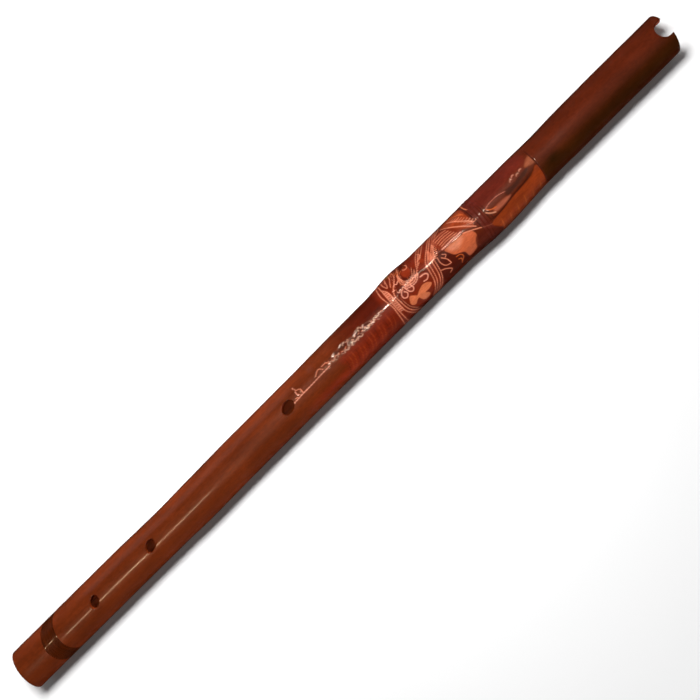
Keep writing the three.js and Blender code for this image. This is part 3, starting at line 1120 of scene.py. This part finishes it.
# %% [markdown]
# ## Floor and light
#
# The floor is plain matt white. One soft lamp high on the +Y side gives the short shadow on the other side,
# and two low ones fill it in. The rest are narrow strips that only shine in the lacquer: a thin line along
# the foot, a spot on the whipping and a broken line on the carving. A faint lamp straight above reaches
# down into the holes.

# %% Floor
bpy.ops.mesh.primitive_plane_add(size=8)
floor = bpy.context.object
floor.name = "floor"
put_on(floor, with_surface(new_material("matte_white_paint"), Base_Color=(*hex_colour("#f7f7f7"), 1),
                           Roughness=0.9, Specular_IOR_Level=0.1))
print("floor at", round(floor.location.z, 4))

# %% Lights
def soft_light(name, place, aim, width, length, watts, diffuse=True, glossy=True, only=None,
               tint="#ffffff"):
    """A rectangular lamp that faces its aim, with its long side along the flute."""
    bpy.ops.object.light_add(type="AREA", location=place)
    lamp = bpy.context.object
    lamp.name = name
    lamp.data.shape = "RECTANGLE"
    lamp.data.size = length
    lamp.data.size_y = width
    lamp.data.energy = watts
    lamp.data.color = hex_colour(tint)
    gaze = (aim[0] - place[0], aim[1] - place[1], aim[2] - place[2])
    lamp.rotation_euler = (math.atan2(gaze[1], -gaze[2]), 0, 0)
    lamp.visible_diffuse = diffuse
    lamp.visible_glossy = glossy
    lamp.visible_camera = False
    lamp.light_linking.receiver_collection = only
    return lamp


WARM = "#ffd2a8"
PALE_WARM = "#ffe4d2"
STRIP_HEIGHT = 0.65


def line_of_light(name, along, across, width, length, watts, only, tint=WARM):
    """A narrow strip that shows only as a line of light in the lacquer."""
    soft_light(name, (along, across, STRIP_HEIGHT), (along, 0, 0), width, length, watts, diffuse=False,
               only=only, tint=tint)


def shaded_from_the_rest(name, pieces):
    """A collection of the only pieces that a lamp is let fall on, as a card would shade the others."""
    lit = bpy.data.collections.new(name)
    for piece in pieces:
        lit.objects.link(piece)
    return lit


flute_only = shaded_from_the_rest("flute_only", (blank, whipping))
culm_only = shaded_from_the_rest("culm_only", (blank,))
whipping_only = shaded_from_the_rest("whipping_only", (whipping,))
soft_light("key", (0, 0.25, 0.66), (0, 0, 0), 0.17, 0.2, 7.5, glossy=False)
soft_light("low_fill_left", (0, 1.5, 0.2), (0, 0, 0.01), 0.3, 1.5, 8, glossy=False)
soft_light("low_fill_right", (0, -1.5, 0.2), (0, 0, 0.01), 0.3, 1.5, 11, glossy=False, only=flute_only)
soft_light("floor_fill_right", (0, -1.5, 0.2), (0, 0, 0.01), 0.3, 1.5, 3.5, glossy=False)
soft_light("far_floor", (0, -0.8, 0.5), (0, -1.2, 0), 0.3, 1.2, 5, glossy=False)
soft_light("into_the_holes", (0, 0, 0.9), (0, 0, 0), 0.15, 0.5, 1.6, glossy=False, only=culm_only)
line_of_light("thin_line", -0.36, -0.145, 0.007, 0.26, 0.28, culm_only)
line_of_light("line_glint", -0.355, -0.145, 0.005, 0.08, 0.8, culm_only)
line_of_light("band_line", -0.51, 0.15, 0.008, 0.16, 4.0, whipping_only)
line_of_light("carving_line", 0.085, 0.178, 0.01, 0.26, 0.3, culm_only)
line_of_light("carving_glint", 0.12, 0.19, 0.01, 0.14, 1.3, culm_only, PALE_WARM)
soft_light("side_sheen", (-0.3, 0.8, 0.3), (-0.3, 0, 0.02), 0.5, 0.4, 0.14, diffuse=False)
soft_light("top_sheen", (0, -0.3, 1.0), (0, 0, 0.02), 0.6, 1.6, 0.12, diffuse=False)

# %% Room
world = bpy.data.worlds.new("pale_room")
world.use_nodes = True
background = world.node_tree.nodes["Background"].inputs
background["Color"].default_value = (*hex_colour("#ffffff"), 1)
background["Strength"].default_value = 0.08
world.cycles_visibility.glossy = False
floor.visible_glossy = False
bpy.context.scene.world = world
bpy.context.scene.view_settings.view_transform = "Standard"
print("room", world.name, "strength", background["Strength"].default_value)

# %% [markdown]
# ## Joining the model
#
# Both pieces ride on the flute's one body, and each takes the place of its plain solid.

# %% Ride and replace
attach(blank, "root")
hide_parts("culm")
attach(whipping, "root")
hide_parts("foot_binding")
